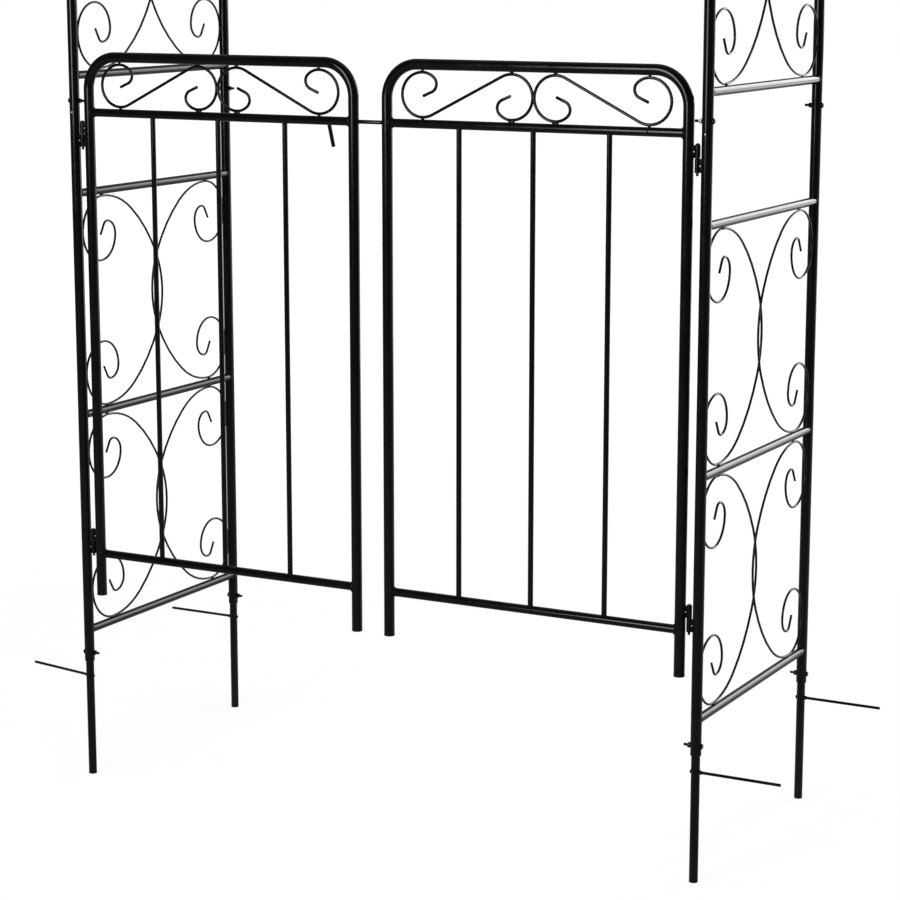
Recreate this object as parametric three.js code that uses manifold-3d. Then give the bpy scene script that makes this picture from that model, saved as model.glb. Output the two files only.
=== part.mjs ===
import * as THREE from 'three';
import { mergeVertices } from 'three/addons/utils/BufferGeometryUtils.js';
import Module from 'manifold-3d';

// Garden arch with a two-leaf gate, in millimetres, Z up. The origin lies on the plane of the stake
// tips, midway between the four stakes. X runs across the passage and the gate is on the -Y side.

// Overall sizes
const passageWidth = 1064; // between the centre lines of the left and right posts
const sideDepth = 427; // between the centre lines of the front and back posts
const archHeight = 2350; // from the stake tips to the top of the arch

// Clearances
const seatGap = 0.3; // where one piece rests against, or is welded to, another
const sleeveGap = 0.5; // round a tube or pin that slides into a tube
const cutOverrun = 1; // how far a cut runs past the face that it leaves by

// Post and arch tubes
const postDiameter = 16;
const postWall = 1;
const postJoint = 1080; // where an upper tube sits on a lower post
const spigotLength = 38; // stands up into the upper tube
const spigotRoot = 30; // stays inside the lower post
const spigotWall = 1;
const topStraight = 45; // straight end of each half hoop, which holds the top joint

// Ground stakes and the rods that pin them
const stakeInsert = 45; // part of the stake that is inside the post
const stakeWall = 1;
const stakePlug = 3; // thickness of the closed tip
const anchorDiameter = 4;
const anchorReach = 130; // from the stake's centre line outwards
const anchorHeight = 166; // the rods lie on the ground, and the stakes go in as deep
const anchorToPost = 25; // from a rod's centre line up to the post's lower end
const anchorHeadDiameter = 7;
const anchorHeadLength = 2;
// Degrees that each rod is turned towards the back.
const anchorTurn = { front_left: 10, front_right: 0, back_left: 0, back_right: 0 };

// Rungs between a front and a back tube
const rungDiameter = 13;
const lowestRung = 242.5;
const rungPitch = 353.5; // height of a bay that holds scrolls
const jointBay = 183.5; // height of the empty bay at the post joint
const archRungsPerSide = 3;

// Wire scrolls of the side bays
const sideWireDiameter = 3;
const scrollOverlap = 15; // how far the two scrolls of a bay pass each other

// Bolts through the posts
const boltDiameter = 5;
const boltHeadDiameter = 9;
const boltHeadHeight = 3;
const nutWidth = 8; // across flats
const nutHeight = 4;
const boltTail = 5; // thread that shows past the nut
const boltRise = 14; // from the end of a tube to its bolt

// Gate leaves
const gateTubeDiameter = 16;
const gateCornerRadius = 50;
const gateTop = 1162; // centre line of the top tube
const gateFoot = 306; // lower end of the legs
const legCapDiameter = 17;
const legCapHeight = 4;
const hingeSpread = 28; // from a post's centre line to the leg beside it
const meetingGap = 56.6; // between the centre lines of the two inner legs
const railDiameter = 13;
const railWall = 1;
const panelHeight = 85.4; // from the top tube's centre line down to the cross rail's
const bottomRail = 373;
const barDiameter = 8;
const barsPerLeaf = 3;

// Wire scrolls of the leaves
const gateWireDiameter = 4;
const scrollEndGap = 18.6; // from a scroll's outer loop to the leg beside it
const weldBiteShare = 0.6; // of the wire's radius, from a loop's wire to the leaf's middle line

// Hinges
const upperHinge = 1042.5; // height of the split between the two knuckles
const lowerHinge = 391.5;
const knuckleDiameter = 8;
const leafKnuckleLength = 18;
const postKnuckleLength = 19.5;
const knuckleSplit = 0.5;
const hingeFlapThickness = 2.4;
const pinDiameter = 4;
const pinHeadDiameter = 7;
const pinHeadHeight = 2.4;
const pinTail = 4.5;

// Latch rod that slides in the left leaf's cross rail
const latchDiameter = 6;
const latchHandleInset = 43; // from the inner leg's centre line
const latchHandleDrop = 35; // handle that shows below the rail
const latchHandleLean = 20; // degrees towards the back
const latchTail = 20; // rod beyond the handle
const latchTravelOut = 40; // withdrawn into the left leaf
const latchTravelIn = 12; // pushed into the right leaf

// Number of flat sides on round pieces
const tubeSides = 12;
const barSides = 8;
const hingeSides = 8;
const boltSides = 6;
const sideWireSides = 4;
const gateWireSides = 5;
const archSteps = 10;
const cornerSteps = 5;

// Worked-out sizes
const postFoot = anchorHeight + anchorToPost;
const postRadius = postDiameter / 2;
const postBore = postRadius - postWall;
const spigotRadius = postBore - sleeveGap;
const stakeTop = postFoot + stakeInsert;
const bendRadius = passageWidth / 2 - topStraight;
const springHeight = archHeight - postRadius - bendRadius;
const rungRadius = rungDiameter / 2;
const secondSectionRung = lowestRung + 2 * rungPitch + jointBay;
const sideRungHeights = [
  lowestRung,
  lowestRung + rungPitch,
  lowestRung + 2 * rungPitch,
  secondSectionRung,
  secondSectionRung + rungPitch,
];
const scrollBayFeet = [sideRungHeights[0], sideRungHeights[1], sideRungHeights[3]];
const boltHoleRadius = boltDiameter / 2 + seatGap;
const gateTubeRadius = gateTubeDiameter / 2;
const railRadius = railDiameter / 2;
const leafWidth = (passageWidth - meetingGap) / 2 - hingeSpread;
const outerLeg = hingeSpread / 2; // in a leaf's own frame, X starts at the hinge pin
const innerLeg = outerLeg + leafWidth;
const crossRail = gateTop - panelHeight;
const knuckleBore = pinDiameter / 2 + seatGap;
const latchRadius = latchDiameter / 2;
const latchHandlePlace = innerLeg - latchHandleInset;

const wasm = await Module();
wasm.setup();

const xAxis = new THREE.Vector3(1, 0, 0);
const yAxis = new THREE.Vector3(0, 1, 0);
const zAxis = new THREE.Vector3(0, 0, 1);

// Turns a closed three.js geometry into a solid that can be joined and cut.
function solid(geometry) {
  const bare = geometry.clone();
  bare.deleteAttribute('normal');
  bare.deleteAttribute('uv');
  const welded = mergeVertices(bare);
  return new wasm.Manifold(
    new wasm.Mesh({
      numProp: 3,
      vertProperties: new Float32Array(welded.attributes.position.array),
      triVerts: new Uint32Array(welded.index.array),
    }),
  );
}

// Turns a solid back into a geometry.
function surface(body) {
  const mesh = body.getMesh();
  const geometry = new THREE.BufferGeometry();
  geometry.setAttribute('position', new THREE.BufferAttribute(mesh.vertProperties, 3));
  geometry.setIndex(new THREE.BufferAttribute(mesh.triVerts, 1));
  geometry.computeVertexNormals();
  return geometry;
}

function join(...bodies) {
  return bodies.reduce((whole, body) => whole.add(body));
}

function cut(body, ...cutters) {
  return cutters.reduce((rest, cutter) => rest.subtract(cutter), body);
}

// A round bar between two points.
function bar(start, end, radius, sides = tubeSides) {
  const run = end.clone().sub(start);
  const geometry = new THREE.CylinderGeometry(radius, radius, run.length(), sides);
  geometry.applyQuaternion(new THREE.Quaternion().setFromUnitVectors(yAxis, run.clone().normalize()));
  geometry.translate(...start.clone().addScaledVector(run, 1 / 2).toArray());
  return solid(geometry);
}

// A round bar along one axis through a point, from one distance to another.
function barAlong(axis, through, from, to, radius, sides = tubeSides) {
  const start = through.clone().addScaledVector(axis, from);
  const end = through.clone().addScaledVector(axis, to);
  return bar(start, end, radius, sides);
}

// A solid turned round the Z axis from a profile of [radius, height] points.
function revolve(profile) {
  const points = profile.map(([radius, height]) => new THREE.Vector2(radius, height));
  return solid(new THREE.LatheGeometry(points, tubeSides).rotateX(Math.PI / 2));
}

// A path in the XZ plane. It keeps one ring of the swept section at each of its stations.
class StationPath extends THREE.Curve {
  constructor(stations) {
    super();
    this.stations = stations;
    this.steps = stations.length - 1;
  }

  getPoint(share, target = new THREE.Vector3()) {
    const station = this.stations[Math.round(share * this.steps)];
    return target.set(station.x, 0, station.z);
  }

  getPointAt(share, target) {
    return this.getPoint(share, target);
  }

  getTangentAt(share, target = new THREE.Vector3()) {
    const station = this.stations[Math.round(share * this.steps)];
    return target.set(station.dx, 0, station.dz).normalize();
  }
}

// Walks a path of straight runs and round bends. Headings are in degrees from +X towards +Z.
function walk(x, z, heading, moves) {
  let angle = THREE.MathUtils.degToRad(heading);
  const stations = [{ x, z, dx: Math.cos(angle), dz: Math.sin(angle) }];
  const stand = () => stations.push({ x, z, dx: Math.cos(angle), dz: Math.sin(angle) });
  for (const move of moves) {
    if (move.run) {
      x += move.run * Math.cos(angle);
      z += move.run * Math.sin(angle);
      stand();
      continue;
    }
    const side = Math.sign(move.turn);
    const step = THREE.MathUtils.degToRad(move.turn) / move.steps;
    const centreX = x - side * move.radius * Math.sin(angle);
    const centreZ = z + side * move.radius * Math.cos(angle);
    for (let index = 0; index < move.steps; index += 1) {
      angle += step;
      x = centreX + side * move.radius * Math.sin(angle);
      z = centreZ - side * move.radius * Math.cos(angle);
      stand();
    }
  }
  return stations;
}

// Sweeps a round section along a path.
function sweep(stations, radius, sides = tubeSides) {
  const section = [];
  for (let index = 0; index < sides; index += 1) {
    const angle = (2 * Math.PI * index) / sides;
    section.push(new THREE.Vector2(radius * Math.cos(angle), radius * Math.sin(angle)));
  }
  const extrudePath = new StationPath(stations);
  const options = { steps: extrudePath.steps, bevelEnabled: false, extrudePath };
  return solid(new THREE.ExtrudeGeometry(new THREE.Shape(section), options));
}

// Ground stake: a tube with a closed tip, drilled for the anchor rod and for its bolt.
function stakeBody(turn) {
  const tube = revolve([
    [0, 0],
    [spigotRadius, 0],
    [spigotRadius, stakeTop],
    [spigotRadius - stakeWall, stakeTop],
    [spigotRadius - stakeWall, stakePlug],
    [0, stakePlug],
  ]);
  const anchorAxis = xAxis.clone().applyAxisAngle(zAxis, THREE.MathUtils.degToRad(turn));
  const anchorPlace = new THREE.Vector3(0, 0, anchorHeight);
  const boltPlace = new THREE.Vector3(0, 0, postFoot + boltRise);
  const reach = spigotRadius + cutOverrun;
  const anchorHole = anchorDiameter / 2 + seatGap;
  return cut(
    tube,
    barAlong(anchorAxis, anchorPlace, -reach, reach, anchorHole, boltSides),
    barAlong(xAxis, boltPlace, -reach, reach, boltHoleRadius, boltSides),
  );
}

// Rod that goes through the stake and lies on the ground, with an upset end on the inner side.
function anchorBody() {
  const origin = new THREE.Vector3();
  const headFace = -spigotRadius - seatGap;
  const headEnd = headFace - anchorHeadLength;
  return join(
    barAlong(xAxis, origin, headEnd, anchorReach, anchorDiameter / 2, boltSides),
    barAlong(xAxis, origin, headEnd, headFace, anchorHeadDiameter / 2, hingeSides),
  );
}

// Knuckle of a hinge with the flap that welds it to its tube. The pin is on the Z axis.
function knuckle(height, length, flapEnd) {
  const flapLength = Math.abs(flapEnd);
  const flap = new THREE.BoxGeometry(flapLength, hingeFlapThickness, length);
  flap.translate(flapEnd / 2, 0, height + length / 2);
  const foot = new THREE.Vector3(0, 0, height);
  const barrel = barAlong(zAxis, foot, 0, length, knuckleDiameter / 2, hingeSides);
  return join(barrel, solid(flap));
}

function pinHole(height, length) {
  const foot = new THREE.Vector3(0, 0, height);
  return barAlong(zAxis, foot, -cutOverrun, length + cutOverrun, knuckleBore, hingeSides);
}

// Lower post: a tube whose welded-in spigot takes the upper tube. Front posts carry the hinges.
function lowerPostBody(withHinges) {
  const spigotBore = spigotRadius - spigotWall;
  const spigotTop = postJoint + spigotLength;
  let post = revolve([
    [postBore, postFoot],
    [postRadius, postFoot],
    [postRadius, postJoint],
    [spigotRadius, postJoint],
    [spigotRadius, spigotTop],
    [spigotBore, spigotTop],
    [spigotBore, postJoint - spigotRoot],
    [postBore, postJoint - spigotRoot],
    [postBore, postFoot],
  ]);
  const reach = postRadius + cutOverrun;
  const footBolt = new THREE.Vector3(0, 0, postFoot + boltRise);
  const jointBolt = new THREE.Vector3(0, 0, postJoint + boltRise);
  post = cut(
    post,
    barAlong(xAxis, footBolt, -reach, reach, boltHoleRadius, boltSides),
    barAlong(xAxis, jointBolt, -reach, reach, boltHoleRadius, boltSides),
  );
  if (withHinges) {
    const wallDepth = outerLeg - postRadius + postWall / 2;
    for (const split of [upperHinge, lowerHinge]) {
      const foot = split - knuckleSplit / 2 - postKnuckleLength;
      const part = cut(knuckle(foot, postKnuckleLength, wallDepth), pinHole(foot, postKnuckleLength));
      post = post.add(part.translate([-outerLeg, 0, 0]));
    }
  }
  return post;
}

// Centre line of an upper tube: straight over the post joint, then a quarter bend to the top of
// the arch. X starts at the post and the passage is on its -X side.
const upperTubeFoot = postJoint + seatGap;
const upperTubeRoute = walk(0, upperTubeFoot, 90, [
  { run: springHeight - upperTubeFoot },
  { radius: bendRadius, turn: 90, steps: archSteps },
  { run: topStraight - seatGap / 2 },
]);

// The right upper tube ends in a spigot at the top of the arch, which the left one is bored for.
function upperTubeBody(withSpigot) {
  const foot = new THREE.Vector3(0, 0, postJoint);
  const top = new THREE.Vector3(-passageWidth / 2, 0, archHeight - postRadius);
  const jointBolt = foot.clone().addScaledVector(zAxis, boltRise);
  const topBolt = top.clone().addScaledVector(xAxis, withSpigot ? -boltRise : boltRise);
  const reach = postRadius + cutOverrun;
  const tube = cut(
    sweep(upperTubeRoute, postRadius),
    barAlong(zAxis, foot, -cutOverrun, spigotLength + cutOverrun, postBore),
    barAlong(xAxis, jointBolt, -reach, reach, boltHoleRadius, boltSides),
  );
  const topEnd = withSpigot
    ? tube.add(barAlong(xAxis, top, -spigotLength, spigotLength / 2, spigotRadius))
    : tube.subtract(barAlong(xAxis, top, -cutOverrun, spigotLength + cutOverrun, postBore));
  return topEnd.subtract(barAlong(yAxis, topBolt, -reach, reach, boltHoleRadius, boltSides));
}

// Bolt through a post-sized tube, head towards +X and nut on the far side.
function boltBody() {
  const origin = new THREE.Vector3();
  const face = postRadius + seatGap;
  const tip = -face - nutHeight - boltTail;
  const nutRadius = nutWidth / 2 / Math.cos(Math.PI / boltSides);
  return join(
    barAlong(xAxis, origin, face, face + boltHeadHeight, boltHeadDiameter / 2, hingeSides),
    barAlong(xAxis, origin, -face - nutHeight, -face, nutRadius, boltSides),
    barAlong(xAxis, origin, tip, face + boltHeadHeight / 2, boltDiameter / 2, boltSides),
  );
}

// Rung from the front to the back tube, each end coped round the tube that it is welded to.
function rungBody(x, z, tubeShape) {
  const front = new THREE.Vector3(x, -sideDepth / 2, z);
  const back = new THREE.Vector3(x, sideDepth / 2, z);
  const frontTube = tubeShape.translate([0, -sideDepth / 2, 0]);
  const backTube = tubeShape.translate([0, sideDepth / 2, 0]);
  return cut(bar(front, back, rungRadius), frontTube, backTube);
}

// Half of a side scroll, from the middle of its back to the hook at its tip. Radii are shares of
// the scroll's half height.
const sideScrollShares = [
  { radius: 0.773, turn: 28, steps: 2 },
  { radius: 1.43, turn: 25.5, steps: 2 },
  { radius: 0.773, turn: 36.5, steps: 2 },
  { radius: 0.327, turn: 90, steps: 3 },
  { radius: 0.28, turn: 90, steps: 3 },
  { radius: 0.238, turn: 90, steps: 3 },
  { radius: 0.137, turn: 90, steps: 3 },
  { radius: 0.083, turn: 60, steps: 1 },
  { run: 0.107 },
];

// A pair of C-scrolls, back to back, which cross twice at the middle of their bay. Each touches
// the rung above, the rung below and its own post.
function sideScrollBody() {
  const wireRadius = sideWireDiameter / 2;
  const halfHeight = rungPitch / 2 - rungRadius - seatGap - wireRadius;
  const reach = sideDepth / 2 - postRadius - seatGap - wireRadius + scrollOverlap / 2;
  const half = walk(0, 0, 90, sideScrollShares);
  const stretchX = reach / -Math.min(...half.map((station) => station.x));
  const stretchZ = halfHeight / Math.max(...half.map((station) => station.z));
  const upper = half.map(({ x, z, dx, dz }) => ({
    x: x * stretchX + scrollOverlap / 2,
    z: z * stretchZ,
    dx: dx * stretchX,
    dz: dz * stretchZ,
  }));
  const lower = upper.map(({ x, z, dx, dz }) => ({ x, z: -z, dx: -dx, dz })).reverse();
  const whole = [...lower, ...upper.slice(1)];
  const facing = whole.map(({ x, z, dx, dz }) => ({ x: -x, z, dx: -dx, dz }));
  return sweep(whole, wireRadius, sideWireSides).add(sweep(facing, wireRadius, sideWireSides));
}

// Leaf frame: one tube bent over at both top corners, with capped feet and its hinge knuckles.
function leafFrameBody(latchCut) {
  const rise = gateTop - gateCornerRadius - gateFoot;
  const corner = { radius: gateCornerRadius, turn: -90, steps: cornerSteps };
  const top = leafWidth - 2 * gateCornerRadius;
  const route = walk(outerLeg, gateFoot, 90, [{ run: rise }, corner, { run: top }, corner, { run: rise }]);
  let frame = sweep(route, gateTubeRadius);
  for (const leg of [outerLeg, innerLeg]) {
    const foot = new THREE.Vector3(leg, 0, gateFoot);
    frame = frame.add(barAlong(zAxis, foot, -legCapHeight / 2, legCapHeight / 2, legCapDiameter / 2));
  }
  for (const split of [upperHinge, lowerHinge]) {
    const foot = split + knuckleSplit / 2;
    frame = frame.add(cut(knuckle(foot, leafKnuckleLength, outerLeg), pinHole(foot, leafKnuckleLength)));
  }
  return frame.subtract(latchCut);
}

// Hole for the latch rod: right through the left leaf's inner leg, and blind in the right leaf's.
function latchHole(through) {
  const place = new THREE.Vector3(innerLeg, 0, crossRail);
  const mouth = gateTubeRadius + cutOverrun;
  const end = through ? -mouth : gateTubeRadius - latchTravelIn - seatGap;
  return barAlong(xAxis, place, end, mouth, latchRadius + seatGap, barSides);
}

// Cross rail, bars and bottom rail of a leaf, welded into one grid. The left leaf's cross rail is
// bored for the latch rod and slotted below for its handle.
function leafGridBody(withLatch) {
  const railAt = (height) =>
    bar(new THREE.Vector3(outerLeg, 0, height), new THREE.Vector3(innerLeg, 0, height), railRadius);
  let grid = railAt(crossRail).add(railAt(bottomRail));
  for (let index = 1; index <= barsPerLeaf; index += 1) {
    const x = outerLeg + (leafWidth * index) / (barsPerLeaf + 1);
    const foot = new THREE.Vector3(x, 0, bottomRail);
    const head = new THREE.Vector3(x, 0, crossRail);
    grid = grid.add(bar(foot, head, barDiameter / 2, barSides));
  }
  const copeRadius = (gateTubeRadius + seatGap) / Math.cos(Math.PI / tubeSides);
  for (const leg of [outerLeg, innerLeg]) {
    const axisFoot = new THREE.Vector3(leg, 0, 0);
    grid = grid.subtract(barAlong(zAxis, axisFoot, gateFoot, gateTop, copeRadius));
  }
  if (!withLatch) return grid;
  const boreEnd = latchHandlePlace - latchTravelOut - latchTail - cutOverrun;
  const bore = bar(
    new THREE.Vector3(boreEnd, 0, crossRail),
    new THREE.Vector3(innerLeg, 0, crossRail),
    railRadius - railWall,
  );
  const slotWidth = latchDiameter + 2 * seatGap;
  const slotLength = latchTravelOut + latchTravelIn + slotWidth;
  const slotDepth = railRadius + cutOverrun;
  const slot = new THREE.BoxGeometry(slotLength, slotWidth, slotDepth);
  slot.translate(latchHandlePlace + (latchTravelIn - latchTravelOut) / 2, 0, -slotDepth / 2);
  slot.rotateX(THREE.MathUtils.degToRad(latchHandleLean));
  slot.translate(0, 0, crossRail);
  return cut(grid, bore, solid(slot));
}

// Half of a leaf scroll after its straight diagonal. Radii are shares of the loop's radius.
const leafHookShares = [
  { radius: 1, turn: -180, steps: 8 },
  { radius: 0.63, turn: -90, steps: 4 },
  { radius: 0.36, turn: -75, steps: 2 },
  { run: 0.36 },
];

// A pair of S-scrolls for the top panel of a leaf, which meet at the leaf's middle line.
function leafScrollBody() {
  const wireRadius = gateWireDiameter / 2;
  const clearHeight = panelHeight - gateTubeRadius - railRadius;
  const loopRadius = clearHeight / 2 - seatGap - wireRadius;
  const weldBite = wireRadius * weldBiteShare;
  const loopReach = leafWidth / 2 - gateTubeRadius - scrollEndGap - wireRadius - weldBite;
  const loopOffset = loopReach / 2 - loopRadius;
  const slope = Math.asin(loopRadius / loopOffset);
  const slopeDegrees = THREE.MathUtils.radToDeg(slope);
  const hook = leafHookShares.map((move) =>
    move.run ? { run: move.run * loopRadius } : { ...move, radius: move.radius * loopRadius },
  );
  const half = walk(0, 0, slopeDegrees, [
    { run: loopRadius / Math.tan(slope) },
    { radius: loopRadius, turn: -slopeDegrees, steps: 2 },
    ...hook,
  ]);
  const other = half.map(({ x, z, dx, dz }) => ({ x: -x, z: -z, dx, dz })).reverse();
  const middle = loopOffset + loopRadius + weldBite;
  const whole = [...other, ...half.slice(1)].map((station) => ({ ...station, x: station.x - middle }));
  const facing = whole.map(({ x, z, dx, dz }) => ({ x: -x, z, dx: -dx, dz }));
  return sweep(whole, wireRadius, gateWireSides).add(sweep(facing, wireRadius, gateWireSides));
}

// Hinge pin with a round head on top. Its origin is the split between the knuckles.
function pinBody() {
  const origin = new THREE.Vector3();
  const headFace = knuckleSplit / 2 + leafKnuckleLength + seatGap;
  const tip = -knuckleSplit / 2 - postKnuckleLength - pinTail;
  return join(
    barAlong(zAxis, origin, tip, headFace + pinHeadHeight / 2, pinDiameter / 2, hingeSides),
    barAlong(zAxis, origin, headFace, headFace + pinHeadHeight, pinHeadDiameter / 2, hingeSides),
  );
}

// Latch rod with its handle. Its origin is where the handle crosses the rod.
function latchBody() {
  const origin = new THREE.Vector3();
  const tip = latchHandleInset + meetingGap - gateTubeRadius - seatGap;
  const lean = THREE.MathUtils.degToRad(latchHandleLean);
  const down = new THREE.Vector3(0, Math.sin(lean), -Math.cos(lean));
  return join(
    barAlong(xAxis, origin, -latchTail, tip, latchRadius, barSides),
    barAlong(down, origin, 0, railRadius + latchHandleDrop, latchRadius, barSides),
  );
}

// Finishes
const powderCoat = { color: 0x17171a, roughness: 0.38, metalness: 0.1 };
const zincPlate = { color: 0xa29a8c, roughness: 0.4, metalness: 0.9 };

function piece(name, body, finish = powderCoat) {
  const mesh = new THREE.Mesh(surface(body), new THREE.MeshStandardMaterial(finish));
  mesh.name = name;
  return mesh;
}

// One corner of the arch: stake, anchor rod, lower post, upper tube and their bolts, in a frame
// on the post's centre line whose +X points out of the passage.
function corner(side, end) {
  const row = end < 0 ? 'front' : 'back';
  const place = `${row}_${side < 0 ? 'left' : 'right'}`;
  const group = new THREE.Group();
  group.position.set((side * passageWidth) / 2, (end * sideDepth) / 2, 0);
  if (side < 0) group.rotation.z = Math.PI;

  const turn = side * anchorTurn[place];
  const anchor = piece(`anchor_rod_${place}`, anchorBody());
  anchor.position.z = anchorHeight;
  anchor.rotation.z = THREE.MathUtils.degToRad(turn);

  const footBolt = piece(`stake_bolt_${place}`, boltBody(), zincPlate);
  footBolt.position.z = postFoot + boltRise;
  const jointBolt = piece(`joint_bolt_${place}`, boltBody(), zincPlate);
  jointBolt.position.z = postJoint + boltRise;

  group.add(
    piece(`stake_${place}`, stakeBody(turn)),
    anchor,
    piece(`lower_post_${place}`, lowerPostBody(end < 0)),
    piece(`upper_tube_${place}`, upperTubeBody(side > 0)),
    footBolt,
    jointBolt,
  );
  return group;
}

// The place at a given length along a path, measured along its facets.
function placeAlong(stations, length) {
  let rest = length;
  for (let index = 1; index < stations.length; index += 1) {
    const from = stations[index - 1];
    const to = stations[index];
    const facet = Math.hypot(to.x - from.x, to.z - from.z);
    if (rest <= facet) {
      return { x: from.x + ((to.x - from.x) * rest) / facet, z: from.z + ((to.z - from.z) * rest) / facet };
    }
    rest -= facet;
  }
  return stations.at(-1);
}

function pathLength(stations) {
  return stations.slice(1).reduce((sum, to, index) => {
    const from = stations[index];
    return sum + Math.hypot(to.x - from.x, to.z - from.z);
  }, 0);
}

// Rungs of one side, then those over the arch at an even pitch that also spans its top joint.
function rungs(side) {
  const name = side < 0 ? 'left' : 'right';
  const group = new THREE.Group();
  group.position.x = (side * passageWidth) / 2;
  if (side < 0) group.rotation.z = Math.PI;

  const copeRadius = (postRadius + seatGap) / Math.cos(Math.PI / tubeSides);
  const post = barAlong(zAxis, new THREE.Vector3(), postFoot, springHeight, copeRadius);
  sideRungHeights.forEach((height, index) => {
    group.add(piece(`side_rung_${name}_${index + 1}`, rungBody(0, height, post)));
  });

  const hoop = sweep(upperTubeRoute, copeRadius);
  const highest = sideRungHeights.at(-1) - upperTubeFoot;
  const archPitch = (pathLength(upperTubeRoute) - highest) / (archRungsPerSide + 1 / 2);
  for (let index = 1; index <= archRungsPerSide; index += 1) {
    const { x, z } = placeAlong(upperTubeRoute, highest + archPitch * index);
    group.add(piece(`arch_rung_${name}_${index}`, rungBody(x, z, hoop)));
  }
  return group;
}

function sideScrolls() {
  const group = new THREE.Group();
  for (const side of [-1, 1]) {
    scrollBayFeet.forEach((foot, index) => {
      const name = `side_scroll_${side < 0 ? 'left' : 'right'}_${index + 1}`;
      const scroll = piece(name, sideScrollBody());
      scroll.position.set((side * passageWidth) / 2, 0, foot + rungPitch / 2);
      scroll.rotation.z = Math.PI / 2;
      group.add(scroll);
    });
  }
  return group;
}

// Bolts that pin the two halves of each hoop together beside the top of the arch.
function topBolts() {
  const group = new THREE.Group();
  for (const end of [-1, 1]) {
    const bolt = piece(`top_bolt_${end < 0 ? 'front' : 'back'}`, boltBody(), zincPlate);
    bolt.position.set(-boltRise, (end * sideDepth) / 2, archHeight - postRadius);
    bolt.rotation.z = (end * Math.PI) / 2;
    group.add(bolt);
  }
  return group;
}

// A gate leaf in a frame on its hinge line, whose +X points to the middle of the passage.
function leaf(side) {
  const isLeft = side < 0;
  const name = isLeft ? 'left' : 'right';
  const group = new THREE.Group();
  group.position.set(side * (passageWidth / 2 - hingeSpread / 2), -sideDepth / 2, 0);
  if (!isLeft) group.rotation.z = Math.PI;

  const scroll = piece(`gate_scroll_${name}`, leafScrollBody());
  const panelMiddle = (gateTop - gateTubeRadius + crossRail + railRadius) / 2;
  scroll.position.set(outerLeg + leafWidth / 2, 0, panelMiddle);
  group.add(
    piece(`gate_frame_${name}`, leafFrameBody(latchHole(isLeft))),
    piece(`gate_grid_${name}`, leafGridBody(isLeft)),
    scroll,
  );
  for (const [level, split] of [['upper', upperHinge], ['lower', lowerHinge]]) {
    const pin = piece(`hinge_pin_${name}_${level}`, pinBody());
    pin.position.z = split;
    group.add(pin);
  }
  if (isLeft) {
    const latch = piece('latch_rod', latchBody());
    latch.position.set(latchHandlePlace, 0, crossRail);
    group.add(latch);
  }
  return group;
}

const arch = new THREE.Group();
for (const side of [-1, 1]) {
  for (const end of [-1, 1]) arch.add(corner(side, end));
}
arch.add(rungs(-1), rungs(1), sideScrolls(), topBolts(), leaf(-1), leaf(1));

export default arch;
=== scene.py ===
import math

import bpy
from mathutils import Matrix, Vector


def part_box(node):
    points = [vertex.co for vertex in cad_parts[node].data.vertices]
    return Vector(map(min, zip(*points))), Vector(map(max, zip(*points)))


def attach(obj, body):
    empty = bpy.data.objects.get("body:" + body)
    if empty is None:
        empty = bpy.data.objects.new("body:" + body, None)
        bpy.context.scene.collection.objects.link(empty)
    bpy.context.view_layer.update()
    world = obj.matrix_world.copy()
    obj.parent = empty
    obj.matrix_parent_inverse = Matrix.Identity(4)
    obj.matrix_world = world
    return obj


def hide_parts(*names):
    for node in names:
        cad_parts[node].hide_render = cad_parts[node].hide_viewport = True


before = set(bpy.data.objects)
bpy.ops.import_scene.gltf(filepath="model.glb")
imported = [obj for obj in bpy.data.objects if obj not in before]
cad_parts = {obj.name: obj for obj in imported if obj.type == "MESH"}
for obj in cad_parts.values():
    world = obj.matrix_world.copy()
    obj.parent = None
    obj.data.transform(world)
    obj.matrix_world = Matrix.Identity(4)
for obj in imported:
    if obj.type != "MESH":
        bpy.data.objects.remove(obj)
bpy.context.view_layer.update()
print("frame loaded")

mm = 0.001
sameSpot = 0.002 * mm  # points nearer than this are one point
overrun = 1 * mm  # a cut runs past the surface by this
sharpAngle = 50  # edges that turn by more degrees than this get a bevel
postRadius = 8 * mm
rungRadius = 6.5 * mm
barRadius = 4 * mm
seatGap = 0.3 * mm  # between two pieces that touch or are welded


# Modelling helpers

def pick(*pieces):
    bpy.ops.object.select_all(action="DESELECT")
    for piece in pieces:
        piece.select_set(True)
    bpy.context.view_layer.objects.active = pieces[0]


def selectAllPoints():
    bpy.ops.object.mode_set(mode="EDIT")
    bpy.ops.mesh.select_all(action="SELECT")


def closeSurface(piece):
    pick(piece)
    selectAllPoints()
    bpy.ops.mesh.remove_doubles(threshold=sameSpot)
    bpy.ops.mesh.normals_make_consistent(inside=False)
    bpy.ops.object.mode_set(mode="OBJECT")
    return piece


def modified(piece, kind, **settings):
    pick(piece)
    modifier = piece.modifiers.new(kind.lower(), kind)
    for setting, value in settings.items():
        setattr(modifier, setting, value)
    bpy.ops.object.modifier_apply(modifier=modifier.name)
    return piece


def rounded(piece, width, segments=2):
    return modified(piece, "BEVEL", width=width, segments=segments, limit_method="ANGLE",
                    angle_limit=math.radians(sharpAngle))


def dropModels(*models):
    for model in models:
        bpy.data.objects.remove(model)


def cutAway(piece, *cutters):
    for cutter in cutters:
        modified(piece, "BOOLEAN", operation="DIFFERENCE", solver="EXACT", object=cutter)
    dropModels(*cutters)
    return piece


def painted(piece, material, smoothDegrees=20):
    piece.data.materials.clear()
    piece.data.materials.append(material)
    pick(piece)
    bpy.ops.object.shade_smooth_by_angle(angle=math.radians(smoothDegrees))
    return piece


def joined(*parts):
    pick(*parts)
    if len(parts) > 1:
        bpy.ops.object.join()
    return bpy.context.active_object


def inRadians(turn):
    return [math.radians(angle) for angle in turn]


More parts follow.
